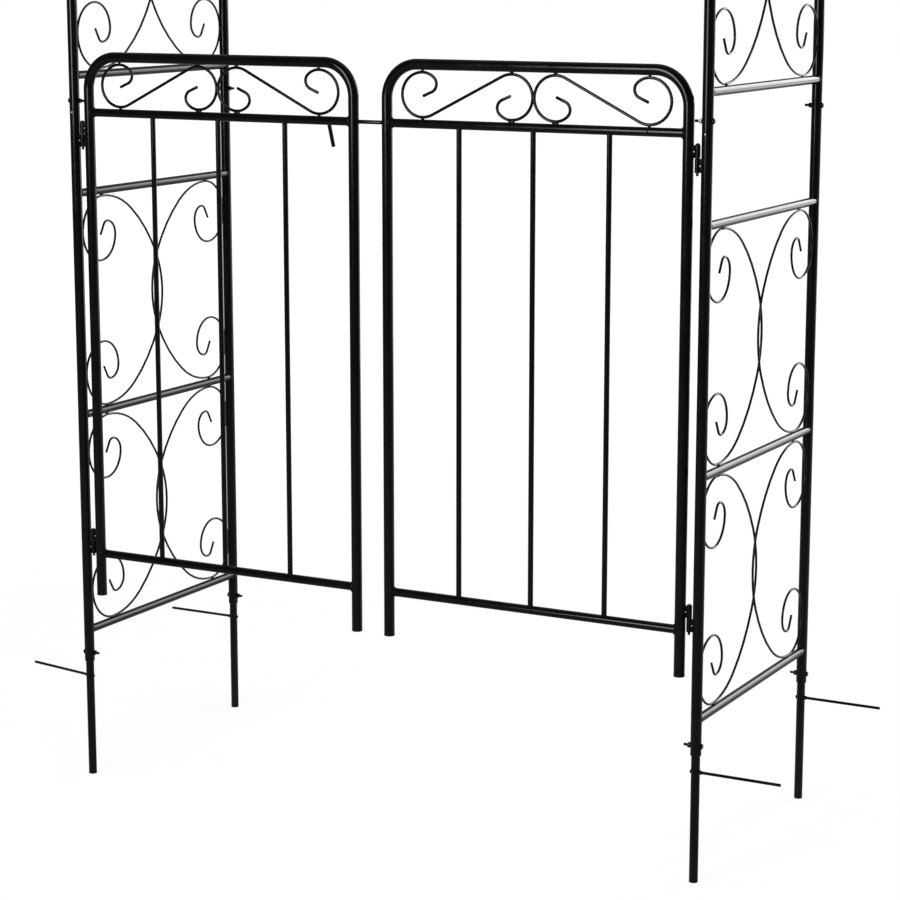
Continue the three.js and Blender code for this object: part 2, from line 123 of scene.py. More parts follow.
# Works the active object's place, turn and scale into its mesh.
def settled():
    bpy.ops.object.transform_apply(location=True, rotation=True, scale=True)
    return bpy.context.active_object


def moved(piece, place=(0, 0, 0), turn=(0, 0, 0)):
    pick(piece)
    piece.rotation_euler = inRadians(turn)
    piece.location = place
    return settled()


def copyOf(model, place=(0, 0, 0), turn=(0, 0, 0)):
    pick(model)
    bpy.ops.object.duplicate()
    return moved(bpy.context.active_object, place, turn)


def cylinder(radius, length, place=(0, 0, 0), turn=(0, 0, 0), sides=32):
    bpy.ops.object.select_all(action="DESELECT")
    bpy.ops.mesh.primitive_cylinder_add(vertices=sides, radius=radius, depth=length, location=place,
                                        rotation=inRadians(turn))
    return settled()


def block(size, place=(0, 0, 0), turn=(0, 0, 0)):
    bpy.ops.object.select_all(action="DESELECT")
    bpy.ops.mesh.primitive_cube_add(size=1, location=place, rotation=inRadians(turn), scale=size)
    return settled()


# One point in edit mode, from which a profile or a route is drawn.
def startPoint(place):
    bpy.ops.object.select_all(action="DESELECT")
    bpy.ops.mesh.primitive_plane_add(size=1 * mm)
    selectAllPoints()
    bpy.ops.mesh.merge(type="CENTER")
    bpy.ops.transform.translate(value=place)


def drawTo(step):
    bpy.ops.mesh.extrude_region_move(TRANSFORM_OT_translate={"value": step})


# A piece turned round the Z axis from a profile of (radius, height) points.
def turned(profile, sides=32):
    startPoint((profile[0][0], 0, profile[0][1]))
    for (radius, height), (nextRadius, nextHeight) in zip(profile, profile[1:]):
        drawTo((nextRadius - radius, 0, nextHeight - height))
    bpy.ops.mesh.select_all(action="SELECT")
    bpy.ops.mesh.spin(steps=sides, angle=2 * math.pi, center=(0, 0, 0), axis=(0, 0, 1))
    bpy.ops.object.mode_set(mode="OBJECT")
    return closeSurface(bpy.context.active_object)


# Points of a profile's dome, from its edge up to its top on the axis, without the edge itself.
def domePoints(radius, foot, rise, steps=6):
    angles = [math.pi / 2 * step / steps for step in range(1, steps + 1)]
    return [(radius * math.cos(angle), foot + rise * math.sin(angle)) for angle in angles]


# A route in the XZ plane, of straight runs and (radius, turn) bends. Headings are in degrees
# from +X towards +Z, and a positive turn goes the same way.
def routed(x, z, heading, moves, stepDegrees=6):
    startPoint((x, 0, z))
    place = Vector((x, 0, z))
    for move in moves:
        angle = math.radians(heading)
        if not isinstance(move, tuple):
            step = move * Vector((math.cos(angle), 0, math.sin(angle)))
            drawTo(step)
            place += step
            continue
        radius, turn = move
        side = math.copysign(1, turn)
        centre = place + side * radius * Vector((-math.sin(angle), 0, math.cos(angle)))
        bpy.ops.mesh.spin(steps=max(1, round(abs(turn) / stepDegrees)), angle=math.radians(turn),
                          center=centre, axis=(0, 1, 0))
        heading += turn
        angle = math.radians(heading)
        place = centre - side * radius * Vector((-math.sin(angle), 0, math.cos(angle)))
    bpy.ops.object.mode_set(mode="OBJECT")
    return bpy.context.active_object


# Adds to a drawn line its own image, flipped at the origin.
def doubled(line, flips):
    pick(line)
    selectAllPoints()
    bpy.ops.mesh.duplicate()
    bpy.ops.transform.resize(value=flips, center_override=(0, 0, 0))
    bpy.ops.mesh.select_all(action="SELECT")
    bpy.ops.mesh.remove_doubles(threshold=sameSpot)
    bpy.ops.object.mode_set(mode="OBJECT")


# Gives a drawn route its round section.
def fattened(route, radius, sides=16, capped=True):
    pick(route)
    bpy.ops.object.convert(target="CURVE")
    line = bpy.context.active_object
    line.data.bevel_depth = radius
    line.data.bevel_resolution = (sides - 4) // 2
    line.data.use_fill_caps = capped
    bpy.ops.object.convert(target="MESH")
    return closeSurface(bpy.context.active_object)


def nameFor(node):
    first, *rest = node.split("_")
    return first + "".join(word.capitalize() for word in rest)


# Sets a copy of a model in its place and lets it stand for its CAD node.
def stand(model, node, place=(0, 0, 0), turn=(0, 0, 0), body="frame", extras=()):
    piece = joined(copyOf(model, place, turn), *extras)
    piece.name = nameFor(node)
    piece.data.name = piece.name
    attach(piece, body)
    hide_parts(node)
    return piece


# Materials

# A number in a shader, so that shader maths reads as plain sums.
class Amount:
    def __init__(self, finish, socket):
        self.finish = finish
        self.socket = socket

    def maths(self, operation, first, second):
        return self.finish.add("ShaderNodeMath", {"operation": operation}, {0: first, 1: second})

    def __add__(self, other):
        return self.maths("ADD", self, other)

    def __mul__(self, other):
        return self.maths("MULTIPLY", self, other)

    __radd__ = __add__
    __rmul__ = __mul__


class Finish:
    def __init__(self, tree):
        self.tree = tree
        self.tree.nodes.clear()

    def add(self, kind, settings, sockets, output=0):
        node = self.tree.nodes.new(kind)
        for setting, value in settings.items():
            setattr(node, setting, value)
        for socket, value in sockets.items():
            if isinstance(value, Amount):
                self.tree.links.new(value.socket, node.inputs[socket])
            else:
                node.inputs[socket].default_value = value
        return Amount(self, node.outputs[output] if node.outputs else None)

    def noise(self, place, scale, detail=2, roughness=0.5):
        return self.add("ShaderNodeTexNoise", {},
                        {"Vector": place, "Scale": scale, "Detail": detail, "Roughness": roughness})

    def ranged(self, value, low, high, newLow=0, newHigh=1):
        return self.add("ShaderNodeMapRange", {"interpolation_type": "SMOOTHSTEP"},
                        {"Value": value, "From Min": low, "From Max": high,
                         "To Min": newLow, "To Max": newHigh})

    # sockets 6 and 7 and output 2 are the colour ones of a mix node
    def between(self, share, first, second):
        return self.add("ShaderNodeMix", {"data_type": "RGBA"},
                        {"Factor": share, 6: (*first, 1), 7: (*second, 1)}, 2)

    def bump(self, height):
        return self.add("ShaderNodeBump", {}, {"Strength": 1, "Distance": 1 * mm, "Height": height}, "Normal")


def material(name):
    made = bpy.data.materials.new(name)
    made.use_nodes = True
    return made, Finish(made.node_tree)


# Each span is from the low to the high values that its noise takes.
coatNoise = {"patchSpan": (0.3, 0.7), "mottleShare": 0.5, "bothSpan": (0.5, 1.0)}
plateNoise = {"patchSpan": (0.35, 0.65), "grainSpan": (0.3, 0.7)}


def coated(name, look):
    made, finish = material(name)
    place = finish.add("ShaderNodeTexCoord", {}, {}, "Object")
    patches = finish.noise(place, look["patchScale"], detail=4, roughness=0.6)
    mottle = finish.noise(place, look["mottleScale"], detail=3)
    peel = finish.noise(place, look["peelScale"])
    tone = finish.ranged(patches, *coatNoise["patchSpan"])
    both = patches + mottle * coatNoise["mottleShare"]
    shader = finish.add("ShaderNodeBsdfPrincipled", {}, {
        "Base Color": finish.between(tone, look["dark"], look["light"]),
        "Roughness": finish.ranged(both, *coatNoise["bothSpan"], *look["roughness"]),
        "Metallic": 0,
        "Specular IOR Level": look["specular"],
        "Normal": finish.bump(peel * look["peelHeight"] + mottle * look["mottleHeight"]),
    })
    finish.add("ShaderNodeOutputMaterial", {}, {"Surface": shader})
    return made


powderCoat = coated("powderCoat", {
    "dark": (0.0032, 0.0032, 0.0036), "light": (0.0050, 0.0050, 0.0056),
    "roughness": (0.10, 0.18), "specular": 0.3,
    "patchScale": 14, "mottleScale": 210, "mottleHeight": 0.006, "peelScale": 800, "peelHeight": 0.002,
})
weldCoat = coated("weldCoat", {
    "dark": (0.0025, 0.0025, 0.0028), "light": (0.005, 0.005, 0.0055),
    "roughness": (0.28, 0.42), "specular": 0.3,
    "patchScale": 60, "mottleScale": 480, "mottleHeight": 0.30, "peelScale": 1300, "peelHeight": 0.04,
})
footCap = coated("footCap", {
    "dark": (0.004, 0.004, 0.004), "light": (0.007, 0.007, 0.007),
    "roughness": (0.45, 0.6), "specular": 0.3,
    "patchScale": 90, "mottleScale": 600, "mottleHeight": 0.02, "peelScale": 2200, "peelHeight": 0.02,
})


def plated(name, look):
    made, finish = material(name)
    place = finish.add("ShaderNodeTexCoord", {}, {}, "Object")
    patches = finish.noise(place, look["patchScale"], detail=4, roughness=0.6)
    grain = finish.noise(place, look["grainScale"], detail=3)
    tone = finish.ranged(patches, *plateNoise["patchSpan"])
    shader = finish.add("ShaderNodeBsdfPrincipled", {}, {
        "Base Color": finish.between(tone, look["warm"], look["cool"]),
        "Roughness": finish.ranged(grain, *plateNoise["grainSpan"], *look["roughness"]),
        "Metallic": look["metallic"],
        "Normal": finish.bump(grain * look["grainHeight"]),
    })
    finish.add("ShaderNodeOutputMaterial", {}, {"Surface": shader})
    return made


# lighter zinc that paints a highlight on the middle of the bolt heads
paintedHighlightZinc = plated("paintedHighlightZinc", {
    "warm": (0.42, 0.31, 0.25), "cool": (0.52, 0.44, 0.40), "roughness": (0.26, 0.45),
    "metallic": 1, "patchScale": 260, "grainScale": 1500, "grainHeight": 0.02,
})
brownZinc = plated("brownZinc", {
    "warm": (0.08, 0.05, 0.03), "cool": (0.14, 0.10, 0.075), "roughness": (0.35, 0.55),
    "metallic": 1, "patchScale": 310, "grainScale": 1500, "grainHeight": 0.03,
})
darkZinc = plated("darkZinc", {
    "warm": (0.030, 0.021, 0.015), "cool": (0.06, 0.05, 0.042), "roughness": (0.25, 0.42),
    "metallic": 1, "patchScale": 300, "grainScale": 1500, "grainHeight": 0.03,
})
# bright steel, for the hinge rivets and for painted glints and highlights
bareSteelAndGlint = plated("bareSteelAndGlint", {
    "warm": (0.80, 0.77, 0.72), "cool": (0.90, 0.89, 0.87), "roughness": (0.30, 0.5),
    "metallic": 0.4, "patchScale": 500, "grainScale": 2600, "grainHeight": 0.02,
})
print("materials made")


# Welds

weld = {
    "rungBead": 1.1 * mm, "railBead": 1.9 * mm, "barBead": 1.4 * mm, "lumps": 0.5 * mm,
    "lumpSpacing": 3 * mm, "ringSides": 48, "beadSides": 12, "targetSides": 96,
    "spotSides": 16, "spotRings": 10, "lineEndShare": 0.8, "smoothDegrees": 60,
}
lumpPattern = bpy.data.textures.new("weldLumps", "CLOUDS")
lumpPattern.noise_scale = weld["lumpSpacing"]


def welded(piece):
    modified(piece, "DISPLACE", texture=lumpPattern, texture_coords="LOCAL",
             strength=weld["lumps"], mid_level=0.5)
    return painted(piece, weldCoat, weld["smoothDegrees"])


# Bead round a thin bar that comes along Y from the -Y side and ends on a thick bar on the Z axis.
def weldRing(thin, thick, bead):
    targetLength = 6 * thin
    start = -3 * thick
    target = cylinder(thick, targetLength, sides=weld["targetSides"])
    bpy.ops.object.select_all(action="DESELECT")
    bpy.ops.mesh.primitive_circle_add(vertices=weld["ringSides"], radius=thin, location=(0, start, 0),
                                      rotation=inRadians((90, 0, 0)))
    ring = settled()
    modified(ring, "SHRINKWRAP", target=target, wrap_method="PROJECT", use_project_y=True,
             use_positive_direction=True, use_negative_direction=False)
    dropModels(target)
    return welded(fattened(ring, bead, weld["beadSides"], capped=False))


def scaled(shares, size):
    return [share * size for share in shares]


# Small lump of weld, with its own size along each axis.
def weldSpot(place, size):
    bpy.ops.object.select_all(action="DESELECT")
    bpy.ops.mesh.primitive_uv_sphere_add(segments=weld["spotSides"], ring_count=weld["spotRings"],
                                         radius=1, location=place)
    bpy.context.active_object.scale = size
    return welded(settled())


# Straight bead along Z, on the side of a flap.
def weldLine(length, radius):
    line = fattened(routed(0, -length / 2, 90, [length / 2, length / 2]), radius, weld["beadSides"])
    return welded(rounded(line, radius * weld["lineEndShare"], segments=3))


rungRing = weldRing(rungRadius, postRadius, weld["rungBead"])
railRing = weldRing(rungRadius, postRadius, weld["railBead"])
barRing = weldRing(barRadius, rungRadius, weld["barBead"])
print("weld beads made")


# Corners of the arch

def middleOf(node):
    low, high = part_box(node)
    return (low + high) / 2


cornerPlaces = {}
for sideName, outwards in (("left", 180), ("right", 0)):
    for rowName in ("front", "back"):
        spot = middleOf(f"stake_{rowName}_{sideName}")
        cornerPlaces[f"{rowName}_{sideName}"] = (spot.x, spot.y, outwards)

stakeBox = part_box("stake_back_right")
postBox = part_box("lower_post_back_right")
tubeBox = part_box("upper_tube_back_right")
footBoltHeight = middleOf("stake_bolt_back_right").z
jointBoltHeight = middleOf("joint_bolt_back_right").z
anchorHeight = middleOf("anchor_rod_back_right").z

tube = {
    "sides": 32, "wall": 1 * mm, "sleeveGap": 0.5 * mm, "rim": 0.25 * mm, "boltHole": 2.4 * mm,
    "anchorHole": 2.3 * mm, "holeLength": 4 * postRadius, "aroundHole": 5.5 * mm,
    "spigotRoot": 30 * mm, "stakePlug": 3 * mm,
}
innerRadius = postRadius - tube["wall"]
spigotRadius = innerRadius - tube["sleeveGap"]
spigotBore = spigotRadius - tube["wall"]


# Heights on both sides of a bolt hole, which keep the cut faces short.
def roundHole(height):
    return [height - tube["aroundHole"], height + tube["aroundHole"]]


def boltHole(place, turn=(0, 90, 0), radius=tube["boltHole"]):
    return cylinder(radius, tube["holeLength"], place, turn)


def stakeModel(turn=0):
    top = stakeBox[1].z
    stops = [*roundHole(anchorHeight), *roundHole(footBoltHeight)]
    profile = [
        (0, 0), (spigotRadius, 0),
        *[(spigotRadius, stop) for stop in stops],
        (spigotRadius, top), (spigotBore, top),
        *[(spigotBore, stop) for stop in reversed(stops)],
        (spigotBore, tube["stakePlug"]), (0, tube["stakePlug"]),
    ]
    stake = rounded(turned(profile, tube["sides"]), tube["rim"])
    cutAway(stake, boltHole((0, 0, footBoltHeight)),
            boltHole((0, 0, anchorHeight), (0, 90, turn), tube["anchorHole"]))
    return painted(stake, powderCoat)


anchor = {
    "radius": 2.2 * mm, "headRadius": 3 * mm, "headLength": 1.1 * mm, "collarRadius": 3.2 * mm,
    "collarLength": 3.5 * mm, "reach": 130 * mm, "round": 0.4 * mm, "sides": 24,
    "turns": {"front_left": -10},
}


def anchorModel():
    headFace = -spigotRadius - seatGap
    headEnd = headFace - anchor["headLength"]
    collar = spigotRadius + seatGap
    rod = turned([
        (0, headEnd), (anchor["headRadius"], headEnd), (anchor["headRadius"], headFace),
        (anchor["radius"], headFace), (anchor["radius"], collar), (anchor["collarRadius"], collar),
        (anchor["collarRadius"], collar + anchor["collarLength"] / 2),
        (anchor["radius"], collar + anchor["collarLength"]),
        (anchor["radius"], anchor["reach"]), (0, anchor["reach"]),
    ], anchor["sides"])
    return painted(rounded(rod, anchor["round"], segments=3), powderCoat, smoothDegrees=35)


plug = {
    "radius": 1.2 * mm, "topShare": 0.6, "height": 0.5 * mm, "root": 1 * mm, "below": 4 * mm,
    "rim": 0.15 * mm, "sides": 16,
}


# Metal dot on the front of a lower post, where the spigot is fixed. Its finish paints the highlight that the
# dot catches.
def plugDot(x, y, finish):
    dot = turned([
        (0, -plug["root"]), (plug["radius"], -plug["root"]), (plug["radius"], plug["height"] / 2),
        (plug["radius"] * plug["topShare"], plug["height"]), (0, plug["height"]),
    ], plug["sides"])
    painted(rounded(dot, plug["rim"]), finish)
    return moved(dot, (x, y - postRadius, tubeBox[0].z - plug["below"]), (90, 0, 0))


def lowerPostModel():
    foot = postBox[0].z
    seat = tubeBox[0].z - seatGap
    spigotTop = postBox[1].z
    root = seat - tube["spigotRoot"]
    footStops = roundHole(footBoltHeight)
    topStops = roundHole(jointBoltHeight)
    post = turned([
        (innerRadius, foot), (postRadius, foot),
        *[(postRadius, stop) for stop in footStops],
        (postRadius, seat), (spigotRadius, seat),
        *[(spigotRadius, stop) for stop in topStops],
        (spigotRadius, spigotTop), (spigotBore, spigotTop),
        *[(spigotBore, stop) for stop in reversed(topStops)],
        (spigotBore, root), (innerRadius, root),
        *[(innerRadius, stop) for stop in reversed(footStops)],
        (innerRadius, foot),
    ], tube["sides"])
    rounded(post, tube["rim"])
    cutAway(post, boltHole((0, 0, footBoltHeight)), boltHole((0, 0, jointBoltHeight)))
    return painted(post, powderCoat)


hoop = {"topStraight": 45 * mm, "topBolt": 14 * mm, "spigotLength": 38 * mm, "stepDegrees": 2}
archAxis = middleOf("stake_back_right").x
topHeight = tubeBox[1].z - postRadius
bendRadius = archAxis - hoop["topStraight"]
springHeight = topHeight - bendRadius


# Upper tube of the right side in its own plane, with its foot under it and its end on the Z axis.
def upperTubeModel(withSpigot):
    foot = tubeBox[0].z
    low, high = roundHole(jointBoltHeight)
    end = hoop["topStraight"] - hoop["topBolt"]
    half = tube["aroundHole"]
    route = routed(archAxis, foot, 90, [
        low - foot, high - low, springHeight - high, (bendRadius, 90),
        end - half, 2 * half, hoop["topBolt"] - half - seatGap / 2,
    ], hoop["stepDegrees"])
    pipe = fattened(route, postRadius, tube["sides"], capped=False)
    modified(pipe, "SOLIDIFY", thickness=tube["wall"], offset=-1)
    rounded(pipe, tube["rim"])
    cutAway(pipe, boltHole((archAxis, 0, jointBoltHeight)),
            boltHole((hoop["topBolt"], 0, topHeight), (90, 0, 0)))
    painted(pipe, powderCoat)
    if not withSpigot:
        return pipe
    length = hoop["spigotLength"]
    spigot = turned([
        (spigotBore, -length), (spigotRadius, -length), (spigotRadius, length / 2),
        (spigotBore, length / 2), (spigotBore, -length),
    ], tube["sides"])
    painted(rounded(spigot, tube["rim"]), powderCoat)
    moved(spigot, (0, 0, topHeight), (0, 90, 0))
    return joined(pipe, spigot)


# Hinges

hinge = {
    "splits": {"upper": 1042.5 * mm, "lower": 391.5 * mm}, "split": 0.5 * mm, "toLeg": 14 * mm,
    "leafLength": 18 * mm, "postLength": 19.5 * mm, "barrel": 4 * mm, "bore": 2.3 * mm,
    "flap": 2.4 * mm, "bite": 1 * mm, "rim": 0.35 * mm,
    "bead": 1 * mm, "beadLengthShare": 0.86, "beadOutShare": 0.3, "beadBackShare": 0.7,
    "dot": 0.9 * mm, "dotProud": 1 * mm, "dotRim": 0.15 * mm, "dotSides": 16,
    "pin": 2 * mm, "pinSides": 24, "headRadius": 3.5 * mm, "headHeight": 2.4 * mm,
    "skirtShare": 0.3, "headRim": 0.2 * mm, "tail": 4.5 * mm, "tailRound": 0.7 * mm,
    # the dome of these sizes on the pin head is bright steel that paints a glint
    "worn": 1.5 * mm, "paintedGlintSunk": 0.5 * mm,
}


# Knuckle on the Z axis, from z = 0 up, with its flap reaching the tube on its +X side.
def knuckleModel(length):
    barrel = turned([
        (hinge["bore"], 0), (hinge["barrel"], 0), (hinge["barrel"], length),
        (hinge["bore"], length), (hinge["bore"], 0),
    ])
    edge = hinge["toLeg"] - postRadius + hinge["bite"]
    start = (hinge["bore"] + hinge["barrel"]) / 2
    flap = block((edge - start, hinge["flap"], length), ((edge + start) / 2, 0, length / 2))
    modified(barrel, "BOOLEAN", operation="UNION", solver="EXACT", object=flap)
    dropModels(flap)
    painted(rounded(barrel, hinge["rim"]), powderCoat)
    line = weldLine(length * hinge["beadLengthShare"], hinge["bead"])
    back = edge - hinge["bite"] * hinge["beadBackShare"]
    offset = hinge["flap"] / 2 + hinge["bead"] * hinge["beadOutShare"]
    beads = [copyOf(line, (back, side * offset, length / 2)) for side in (-1, 1)]
    dropModels(line)
    dot = cylinder(hinge["dot"], hinge["flap"] + 2 * hinge["dotProud"],
                   (hinge["barrel"] + hinge["dot"], 0, length / 2), (90, 0, 0), hinge["dotSides"])
    painted(rounded(dot, hinge["dotRim"]), bareSteelAndGlint)
    return joined(barrel, *beads, dot)


# Pin on the Z axis, with z = 0 in the gap between its two knuckles.
def pinModel():
    headFace = hinge["split"] / 2 + hinge["leafLength"] + seatGap
    foot = -hinge["split"] / 2 - hinge["postLength"]
    tip = foot - hinge["tail"]
    skirt = headFace + hinge["headHeight"] * hinge["skirtShare"]
    rise = hinge["headHeight"] * (1 - hinge["skirtShare"])
    head = turned([
        (0, foot + seatGap), (hinge["pin"], foot + seatGap), (hinge["pin"], headFace),
        (hinge["headRadius"], headFace), (hinge["headRadius"], skirt),
        *domePoints(hinge["headRadius"], skirt, rise),
    ], hinge["pinSides"])
    painted(rounded(head, hinge["headRim"]), powderCoat, smoothDegrees=50)
    nub = turned([(0, tip), (hinge["pin"], tip), (hinge["pin"], foot), (0, foot)], hinge["pinSides"])
    painted(rounded(nub, hinge["tailRound"], segments=3), darkZinc, smoothDegrees=50)
    # painted glint: a small bright steel dome on top of the head
    worn = turned([(0, 0), (hinge["worn"], 0), *domePoints(hinge["worn"], 0, hinge["worn"])],
                  hinge["dotSides"])
    painted(worn, bareSteelAndGlint, smoothDegrees=60)
    moved(worn, (0, 0, skirt + rise - hinge["paintedGlintSunk"]))
    return joined(head, nub, worn)


leafKnuckle = knuckleModel(hinge["leafLength"])
postKnuckle = knuckleModel(hinge["postLength"])


# The flap turns to the post, so the model's +X looks outwards.
def postKnuckles(x, y, outwards):
    pinX = x - math.cos(math.radians(outwards)) * hinge["toLeg"]
    feet = [split - hinge["split"] / 2 - hinge["postLength"] for split in hinge["splits"].values()]
    return [copyOf(postKnuckle, (pinX, y, foot), (0, 0, outwards)) for foot in feet]


# Bolts

bolt = {
    "radius": 2.1 * mm, "headRadius": 4.1 * mm, "headHeight": 3 * mm, "skirt": 0.8 * mm,
    "rim": 0.12 * mm, "crown": 2.5 * mm, "recess": (5 * mm, 1 * mm, 3 * mm), "recessDepth": 1.4 * mm,
    "nutWidth": 7.2 * mm, "nutHeight": 4 * mm, "chamfer": 0.6 * mm, "flatShare": 0.98,
    "tail": 6.3 * mm, "pitch": 0.7 * mm, "threadDepth": 0.35 * mm,
    # this bolt's nut is bright steel, a painted highlight; the other nuts are dark zinc
    "brightNut": "joint_bolt_front_right",
}
boltSeat = postRadius + seatGap


def boltHead():
    skirt = boltSeat + bolt["skirt"]
    head = turned([
        (0, boltSeat), (bolt["headRadius"], boltSeat), (bolt["headRadius"], skirt),
        *domePoints(bolt["headRadius"], skirt, bolt["headHeight"] - bolt["skirt"]),
    ])
    recessMiddle = boltSeat + bolt["headHeight"] + bolt["recess"][2] / 2 - bolt["recessDepth"]
    for turn in (0, 90):
        cutAway(head, block(bolt["recess"], (0, 0, recessMiddle), (0, 0, turn)))
    painted(rounded(head, bolt["rim"]), darkZinc, smoothDegrees=30)
    # painted highlight: the faces round the driver's recess get the lighter zinc
    head.data.materials.append(paintedHighlightZinc)
    for face in head.data.polygons:
        face.material_index = int(face.center.xy.length < bolt["crown"])
    return head


def boltNut(finish):
    cornerRadius = bolt["nutWidth"] / 2 / math.cos(math.pi / 6)
    height = bolt["nutHeight"]
    nut = cylinder(cornerRadius, height, (0, 0, -boltSeat - height / 2), sides=6)
    flat = bolt["nutWidth"] / 2 * bolt["flatShare"]
    chamfers = turned([
        (0, 0), (flat, 0), (cornerRadius, bolt["chamfer"]), (cornerRadius, height - bolt["chamfer"]),
        (flat, height), (0, height),
    ], sides=48)
    moved(chamfers, (0, 0, -boltSeat - height))
    modified(nut, "BOOLEAN", operation="INTERSECT", solver="EXACT", object=chamfers)
    dropModels(chamfers)
    return painted(nut, finish, smoothDegrees=25)


def boltShank():
    tip = -boltSeat - bolt["nutHeight"] - bolt["tail"]
    turns = round((bolt["tail"] + bolt["nutHeight"] / 2) / bolt["pitch"])
    thread = []
    for turn in range(turns):
        foot = tip + turn * bolt["pitch"]
        thread += [(bolt["radius"] - bolt["threadDepth"], foot), (bolt["radius"], foot + bolt["pitch"] / 2)]
    end = boltSeat + bolt["skirt"]
    shank = turned([
        (0, tip), *thread, (bolt["radius"], -boltSeat), (bolt["radius"], end), (0, end),
    ], sides=24)
    return painted(shank, brownZinc, smoothDegrees=25)


# Bolt through a post on the Z axis, with its head up.
def boltModel(nutFinish):
    return joined(boltHead(), boltNut(nutFinish), boltShank())


stake = stakeModel()
turnedStake = stakeModel(anchor["turns"]["front_left"])
rod = anchorModel()
post = lowerPostModel()
# the bright bolt's steel nut paints a highlight
screws = {"dark": boltModel(darkZinc), "bright": boltModel(bareSteelAndGlint)}
tubeWithSpigot = upperTubeModel(True)
plainTube = upperTubeModel(False)

for corner, (x, y, outwards) in cornerPlaces.items():
    bend = anchor["turns"].get(corner, 0)
    stand(turnedStake if bend else stake, f"stake_{corner}", (x, y, 0), (0, 0, outwards))
    stand(rod, f"anchor_rod_{corner}", (x, y, anchorHeight), (0, 90, outwards + bend))
    isFront = corner.startswith("front")
    knuckles = postKnuckles(x, y, outwards) if isFront else []
    # painted highlight: the dot is bright steel on the front posts and dull brown on the back ones, for how
    # the light falls on each row
    dot = plugDot(x, y, bareSteelAndGlint if isFront else brownZinc)
    stand(post, f"lower_post_{corner}", (x, y, 0), (0, 0, outwards), extras=[dot, *knuckles])
    isRight = outwards == 0
    stand(tubeWithSpigot if isRight else plainTube, f"upper_tube_{corner}", (0, y, 0), (0, 0, outwards))
    for name, height in (("stake_bolt", footBoltHeight), ("joint_bolt", jointBoltHeight)):
        node = f"{name}_{corner}"
        kind = "bright" if node == bolt["brightNut"] else "dark"
        stand(screws[kind], node, (x, y, height), (0, 90, outwards))
for rowName, turn in (("front", -90), ("back", 90)):
    place = (-hoop["topBolt"], middleOf(f"stake_{rowName}_right").y, topHeight)
    stand(screws["dark"], f"top_bolt_{rowName}", place, (0, 90, turn))
dropModels(stake, turnedStake, rod, post, *screws.values(), tubeWithSpigot, plainTube, postKnuckle)
print("corners made")


# Rungs

rungs = {"perSide": 5, "perArchSide": 3, "copeLength": 6 * rungRadius, "copeSides": 64}
sideDepth = 2 * middleOf("stake_back_right").y


# Cuts a bar so that it fits round an upright tube.
def cope(bar, radius, place):
    cutAway(bar, cylinder(radius + seatGap, rungs["copeLength"], place, sides=rungs["copeSides"]))


def rungModel():
    rung = cylinder(rungRadius, sideDepth, turn=(90, 0, 0))
    for side in (-1, 1):
        cope(rung, postRadius, (0, side * sideDepth / 2, 0))
    painted(rung, powderCoat)
    backRing = copyOf(rungRing, (0, sideDepth / 2, 0))
    frontRing = copyOf(rungRing, (0, -sideDepth / 2, 0), (0, 0, 180))
    return joined(rung, backRing, frontRing)


rung = rungModel()
for sideName in ("left", "right"):
    for index in range(1, rungs["perSide"] + 1):
        node = f"side_rung_{sideName}_{index}"
        stand(rung, node, middleOf(node))
    for index in range(1, rungs["perArchSide"] + 1):
        node = f"arch_rung_{sideName}_{index}"
        place = middleOf(node)
        across = math.copysign(hoop["topStraight"], place.x)
        lean = math.degrees(math.atan2(place.z - springHeight, place.x - across))
        stand(rung, node, place, (0, -lean, 0))
dropModels(rung, rungRing)
print("rungs made")


# Side scrolls

sideScroll = {
    "perSide": 3, "wire": 1.8 * mm, "sides": 12, "overlap": 23.5 * mm, "apart": 1.9 * mm,
    "bendShares": [(0.773, 28), (1.43, 25.5), (0.773, 36.5), (0.327, 90), (0.28, 90), (0.238, 90),
                   (0.128, 90), (0.065, 60)],
    "endShare": 0.107, "endBevel": 0.35 * mm, "spot": 2.4 * mm, "spotSunkShare": 0.5,
    "postSpot": (1, 0.9, 1.7), "rungSpot": (1.7, 0.9, 1), "crossingSpot": (0.45, 0.8, 0.5),
}


# Middle line of one scroll, fitted between the rungs and from its post to its half of the overlap.
def sideScrollLine(halfHeight, inwards):
    reach = sideDepth / 2 - postRadius - seatGap - sideScroll["wire"] + sideScroll["overlap"] / 2
    bends = [(share * halfHeight, turn) for share, turn in sideScroll["bendShares"]]
    line = routed(0, 0, 90, [*bends, sideScroll["endShare"] * halfHeight])
    doubled(line, (1, 1, -1))
    line.scale = (reach / line.dimensions.x, 1, 2 * halfHeight / line.dimensions.z)
    line.location = (sideScroll["overlap"] / 2, inwards * sideScroll["apart"], 0)
    return settled()


